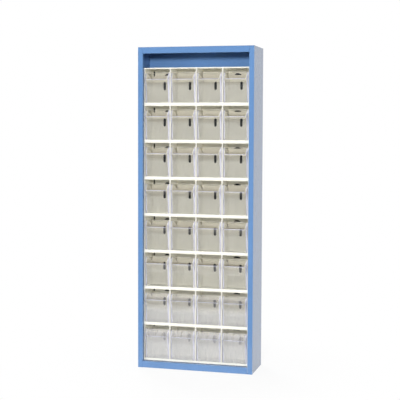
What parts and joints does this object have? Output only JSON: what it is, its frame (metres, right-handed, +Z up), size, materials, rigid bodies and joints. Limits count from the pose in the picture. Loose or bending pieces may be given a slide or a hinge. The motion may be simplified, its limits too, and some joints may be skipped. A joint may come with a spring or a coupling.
{
  "type": "tilt-bin storage cabinet",
  "caption": "Tall open-front sheet-steel cabinet with stacked moulded housings of clear plastic bins that tilt out at the front to hold small parts.",
  "frame": {"origin": "on the floor under the middle of the cabinet's footprint", "axes": "+Z up, +X to the right seen from the front, the open front faces -Y"},
  "size_m": [0.66, 0.25, 1.8],
  "materials": {
    "blue_paint": "semi-gloss powder coat",
    "white_plastic": "satin moulded",
    "clear_plastic": "clear polished",
    "dark_steel": "black phosphate",
    "zinc_steel": "zinc plated"
  },
  "bodies": {
    "cabinet": {"side_panel_left": "blue_paint", "side_panel_right": "blue_paint", "top_panel": "blue_paint", "bottom_panel": "blue_paint", "back_panel": "blue_paint", "mounting_rail_1": "dark_steel", "mounting_rail_2": "dark_steel", "mounting_rail_3": "dark_steel", "mounting_rail_4": "dark_steel", "rivet_1_1": "zinc_steel", "rivet_1_2": "zinc_steel", "rivet_2_1": "zinc_steel", "rivet_2_2": "zinc_steel", "rivet_3_1": "zinc_steel", "rivet_3_2": "zinc_steel", "rivet_4_1": "zinc_steel", "rivet_4_2": "zinc_steel", "housing_1": "white_plastic", "housing_2": "white_plastic", "housing_3": "white_plastic", "housing_4": "white_plastic", "housing_5": "white_plastic", "housing_6": "white_plastic", "housing_7": "white_plastic", "housing_8": "white_plastic"},
    "bin_r1_c1": {"bin_r1_c1": "clear_plastic"},
    "bin_r1_c2": {"bin_r1_c2": "clear_plastic"},
    "bin_r1_c3": {"bin_r1_c3": "clear_plastic"},
    "bin_r1_c4": {"bin_r1_c4": "clear_plastic"},
    "bin_r2_c1": {"bin_r2_c1": "clear_plastic"},
    "bin_r2_c2": {"bin_r2_c2": "clear_plastic"},
    "bin_r2_c3": {"bin_r2_c3": "clear_plastic"},
    "bin_r2_c4": {"bin_r2_c4": "clear_plastic"},
    "bin_r3_c1": {"bin_r3_c1": "clear_plastic"},
    "bin_r3_c2": {"bin_r3_c2": "clear_plastic"},
    "bin_r3_c3": {"bin_r3_c3": "clear_plastic"},
    "bin_r3_c4": {"bin_r3_c4": "clear_plastic"},
    "bin_r4_c1": {"bin_r4_c1": "clear_plastic"},
    "bin_r4_c2": {"bin_r4_c2": "clear_plastic"},
    "bin_r4_c3": {"bin_r4_c3": "clear_plastic"},
    "bin_r4_c4": {"bin_r4_c4": "clear_plastic"},
    "bin_r5_c1": {"bin_r5_c1": "clear_plastic"},
    "bin_r5_c2": {"bin_r5_c2": "clear_plastic"},
    "bin_r5_c3": {"bin_r5_c3": "clear_plastic"},
    "bin_r5_c4": {"bin_r5_c4": "clear_plastic"},
    "bin_r6_c1": {"bin_r6_c1": "clear_plastic"},
    "bin_r6_c2": {"bin_r6_c2": "clear_plastic"},
    "bin_r6_c3": {"bin_r6_c3": "clear_plastic"},
    "bin_r6_c4": {"bin_r6_c4": "clear_plastic"},
    "bin_r7_c1": {"bin_r7_c1": "clear_plastic"},
    "bin_r7_c2": {"bin_r7_c2": "clear_plastic"},
    "bin_r7_c3": {"bin_r7_c3": "clear_plastic"},
    "bin_r7_c4": {"bin_r7_c4": "clear_plastic"},
    "bin_r8_c1": {"bin_r8_c1": "clear_plastic"},
    "bin_r8_c2": {"bin_r8_c2": "clear_plastic"},
    "bin_r8_c3": {"bin_r8_c3": "clear_plastic"},
    "bin_r8_c4": {"bin_r8_c4": "clear_plastic"}
  },
  "joints": [
    {"name": "bin_r1_c1_tilt", "type": "hinge", "parent": "cabinet", "child": "bin_r1_c1", "pos_m": [-0.2241, -0.092, 1.496], "axis": [1, 0, 0], "range_deg": [0, 40]},
    {"name": "bin_r1_c2_tilt", "type": "hinge", "parent": "cabinet", "child": "bin_r1_c2", "pos_m": [-0.0747, -0.092, 1.496], "axis": [1, 0, 0], "range_deg": [0, 40]},
    {"name": "bin_r1_c3_tilt", "type": "hinge", "parent": "cabinet", "child": "bin_r1_c3", "pos_m": [0.0747, -0.092, 1.496], "axis": [1, 0, 0], "range_deg": [0, 40]},
    {"name": "bin_r1_c4_tilt", "type": "hinge", "parent": "cabinet", "child": "bin_r1_c4", "pos_m": [0.2241, -0.092, 1.496], "axis": [1, 0, 0], "range_deg": [0, 40]},
    {"name": "bin_r2_c1_tilt", "type": "hinge", "parent": "cabinet", "child": "bin_r2_c1", "pos_m": [-0.2241, -0.092, 1.29], "axis": [1, 0, 0], "range_deg": [0, 40]},
    {"name": "bin_r2_c2_tilt", "type": "hinge", "parent": "cabinet", "child": "bin_r2_c2", "pos_m": [-0.0747, -0.092, 1.29], "axis": [1, 0, 0], "range_deg": [0, 40]},
    {"name": "bin_r2_c3_tilt", "type": "hinge", "parent": "cabinet", "child": "bin_r2_c3", "pos_m": [0.0747, -0.092, 1.29], "axis": [1, 0, 0], "range_deg": [0, 40]},
    {"name": "bin_r2_c4_tilt", "type": "hinge", "parent": "cabinet", "child": "bin_r2_c4", "pos_m": [0.2241, -0.092, 1.29], "axis": [1, 0, 0], "range_deg": [0, 40]},
    {"name": "bin_r3_c1_tilt", "type": "hinge", "parent": "cabinet", "child": "bin_r3_c1", "pos_m": [-0.2241, -0.092, 1.084], "axis": [1, 0, 0], "range_deg": [0, 40]},
    {"name": "bin_r3_c2_tilt", "type": "hinge", "parent": "cabinet", "child": "bin_r3_c2", "pos_m": [-0.0747, -0.092, 1.084], "axis": [1, 0, 0], "range_deg": [0, 40]},
    {"name": "bin_r3_c3_tilt", "type": "hinge", "parent": "cabinet", "child": "bin_r3_c3", "pos_m": [0.0747, -0.092, 1.084], "axis": [1, 0, 0], "range_deg": [0, 40]},
    {"name": "bin_r3_c4_tilt", "type": "hinge", "parent": "cabinet", "child": "bin_r3_c4", "pos_m": [0.2241, -0.092, 1.084], "axis": [1, 0, 0], "range_deg": [0, 40]},
    {"name": "bin_r4_c1_tilt", "type": "hinge", "parent": "cabinet", "child": "bin_r4_c1", "pos_m": [-0.2241, -0.092, 0.878], "axis": [1, 0, 0], "range_deg": [0, 40]},
    {"name": "bin_r4_c2_tilt", "type": "hinge", "parent": "cabinet", "child": "bin_r4_c2", "pos_m": [-0.0747, -0.092, 0.878], "axis": [1, 0, 0], "range_deg": [0, 40]},
    {"name": "bin_r4_c3_tilt", "type": "hinge", "parent": "cabinet", "child": "bin_r4_c3", "pos_m": [0.0747, -0.092, 0.878], "axis": [1, 0, 0], "range_deg": [0, 40]},
    {"name": "bin_r4_c4_tilt", "type": "hinge", "parent": "cabinet", "child": "bin_r4_c4", "pos_m": [0.2241, -0.092, 0.878], "axis": [1, 0, 0], "range_deg": [0, 40]},
    {"name": "bin_r5_c1_tilt", "type": "hinge", "parent": "cabinet", "child": "bin_r5_c1", "pos_m": [-0.2241, -0.092, 0.672], "axis": [1, 0, 0], "range_deg": [0, 40]},
    {"name": "bin_r5_c2_tilt", "type": "hinge", "parent": "cabinet", "child": "bin_r5_c2", "pos_m": [-0.0747, -0.092, 0.672], "axis": [1, 0, 0], "range_deg": [0, 40]},
    {"name": "bin_r5_c3_tilt", "type": "hinge", "parent": "cabinet", "child": "bin_r5_c3", "pos_m": [0.0747, -0.092, 0.672], "axis": [1, 0, 0], "range_deg": [0, 40]},
    {"name": "bin_r5_c4_tilt", "type": "hinge", "parent": "cabinet", "child": "bin_r5_c4", "pos_m": [0.2241, -0.092, 0.672], "axis": [1, 0, 0], "range_deg": [0, 40]},
    {"name": "bin_r6_c1_tilt", "type": "hinge", "parent": "cabinet", "child": "bin_r6_c1", "pos_m": [-0.2241, -0.092, 0.466], "axis": [1, 0, 0], "range_deg": [0, 40]},
    {"name": "bin_r6_c2_tilt", "type": "hinge", "parent": "cabinet", "child": "bin_r6_c2", "pos_m": [-0.0747, -0.092, 0.466], "axis": [1, 0, 0], "range_deg": [0, 40]},
    {"name": "bin_r6_c3_tilt", "type": "hinge", "parent": "cabinet", "child": "bin_r6_c3", "pos_m": [0.0747, -0.092, 0.466], "axis": [1, 0, 0], "range_deg": [0, 40]},
    {"name": "bin_r6_c4_tilt", "type": "hinge", "parent": "cabinet", "child": "bin_r6_c4", "pos_m": [0.2241, -0.092, 0.466], "axis": [1, 0, 0], "range_deg": [0, 40]},
    {"name": "bin_r7_c1_tilt", "type": "hinge", "parent": "cabinet", "child": "bin_r7_c1", "pos_m": [-0.2241, -0.092, 0.26], "axis": [1, 0, 0], "range_deg": [0, 40]},
    {"name": "bin_r7_c2_tilt", "type": "hinge", "parent": "cabinet", "child": "bin_r7_c2", "pos_m": [-0.0747, -0.092, 0.26], "axis": [1, 0, 0], "range_deg": [0, 40]},
    {"name": "bin_r7_c3_tilt", "type": "hinge", "parent": "cabinet", "child": "bin_r7_c3", "pos_m": [0.0747, -0.092, 0.26], "axis": [1, 0, 0], "range_deg": [0, 40]},
    {"name": "bin_r7_c4_tilt", "type": "hinge", "parent": "cabinet", "child": "bin_r7_c4", "pos_m": [0.2241, -0.092, 0.26], "axis": [1, 0, 0], "range_deg": [0, 40]},
    {"name": "bin_r8_c1_tilt", "type": "hinge", "parent": "cabinet", "child": "bin_r8_c1", "pos_m": [-0.2241, -0.092, 0.054], "axis": [1, 0, 0], "range_deg": [0, 40]},
    {"name": "bin_r8_c2_tilt", "type": "hinge", "parent": "cabinet", "child": "bin_r8_c2", "pos_m": [-0.0747, -0.092, 0.054], "axis": [1, 0, 0], "range_deg": [0, 40]},
    {"name": "bin_r8_c3_tilt", "type": "hinge", "parent": "cabinet", "child": "bin_r8_c3", "pos_m": [0.0747, -0.092, 0.054], "axis": [1, 0, 0], "range_deg": [0, 40]},
    {"name": "bin_r8_c4_tilt", "type": "hinge", "parent": "cabinet", "child": "bin_r8_c4", "pos_m": [0.2241, -0.092, 0.054], "axis": [1, 0, 0], "range_deg": [0, 40]}
  ]
}
